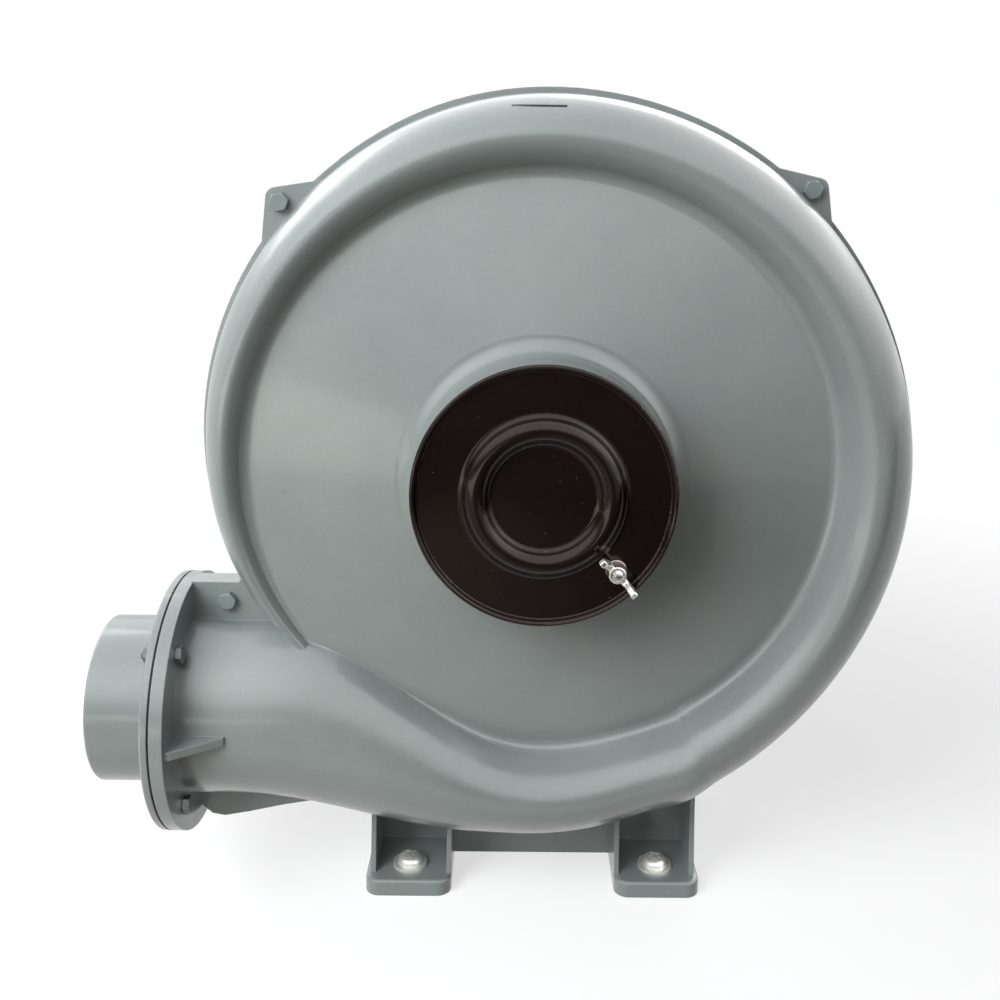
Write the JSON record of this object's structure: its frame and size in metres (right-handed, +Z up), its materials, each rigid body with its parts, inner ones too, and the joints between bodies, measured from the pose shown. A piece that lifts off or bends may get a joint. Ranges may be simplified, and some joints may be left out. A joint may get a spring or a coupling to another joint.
{
  "type": "centrifugal blower",
  "caption": "Direct-driven centrifugal blower: cast spiral scroll on feet, round side outlet, swing dish on the inlet held by a wing nut, flange motor behind.",
  "frame": {"origin": "midway between the two rear foot holes, on the floor under the feet", "axes": "+Z up, +Y from the inlet towards the motor, -X the way the outlet blows"},
  "size_m": [0.4939, 0.4066, 0.5011],
  "materials": {
    "front_cover": "semi-gloss paint",
    "rear_casing": "semi-gloss paint",
    "outlet_spigot": "semi-gloss paint",
    "gasket": "matte",
    "painted_fastener": "painted over",
    "zinc_fastener": "zinc plated",
    "bright_fastener": "zinc plated, bright",
    "dish": "gloss black",
    "wing_nut": "zinc plated",
    "impeller": "as cast and turned",
    "shaft": "ground",
    "bearing": "ground",
    "seal": "matte",
    "lamination": "laminated",
    "winding": "varnished copper wire",
    "motor_paint": "semi-gloss paint",
    "cowl": "semi-gloss paint",
    "black_plastic": "moulded",
    "gland": "moulded"
  },
  "bodies": {
    "casing": {"front_cover": "front_cover", "rear_casing": "rear_casing", "casing_foot": "rear_casing", "outlet_gasket": "gasket", "outlet_spigot": "outlet_spigot", "outlet_bolts": "zinc_fastener", "outlet_nuts": "zinc_fastener", "cover_bolts": "painted_fastener", "cover_nuts": "painted_fastener", "cover_cap_screws": "zinc_fastener", "foot_screws": "bright_fastener", "foot_washers": "bright_fastener", "damper_stud": "wing_nut", "shaft_seal": "seal", "front_bearing": "bearing", "rear_bearing": "bearing", "motor_front_shield": "motor_paint", "motor_bolts": "zinc_fastener", "motor_frame": "motor_paint", "stator_core": "lamination", "stator_windings": "winding", "motor_rear_shield": "motor_paint", "fan_cowl": "cowl", "cowl_screws": "zinc_fastener", "terminal_box": "motor_paint", "terminal_lid": "motor_paint", "lid_screws": "zinc_fastener", "terminal_block": "black_plastic", "cable_gland": "gland"},
    "rotor": {"shaft": "shaft", "impeller_blades": "impeller", "impeller_shroud": "impeller", "impeller_backplate": "impeller", "impeller_key": "shaft", "impeller_washer": "zinc_fastener", "impeller_nut": "zinc_fastener", "rotor_core": "lamination", "cooling_fan": "black_plastic"},
    "damper": {"damper_dish": "dish"},
    "wing_nut": {"wing_nut": "wing_nut", "stud_washer": "wing_nut"}
  },
  "joints": [
    {"name": "rotor_spin", "type": "hinge", "parent": "casing", "child": "rotor", "pos_m": [0, -0.101, 0.281], "axis": [0, 1, 0], "continuous": true},
    {"name": "damper_swing", "type": "hinge", "parent": "casing", "child": "damper", "pos_m": [0.04, -0.181, 0.241], "axis": [0, 1, 0], "range_deg": [-180, 180]},
    {"name": "wing_nut_turn", "type": "hinge", "parent": "casing", "child": "wing_nut", "pos_m": [0.04, -0.186, 0.241], "axis": [0, 1, 0], "continuous": true}
  ]
}
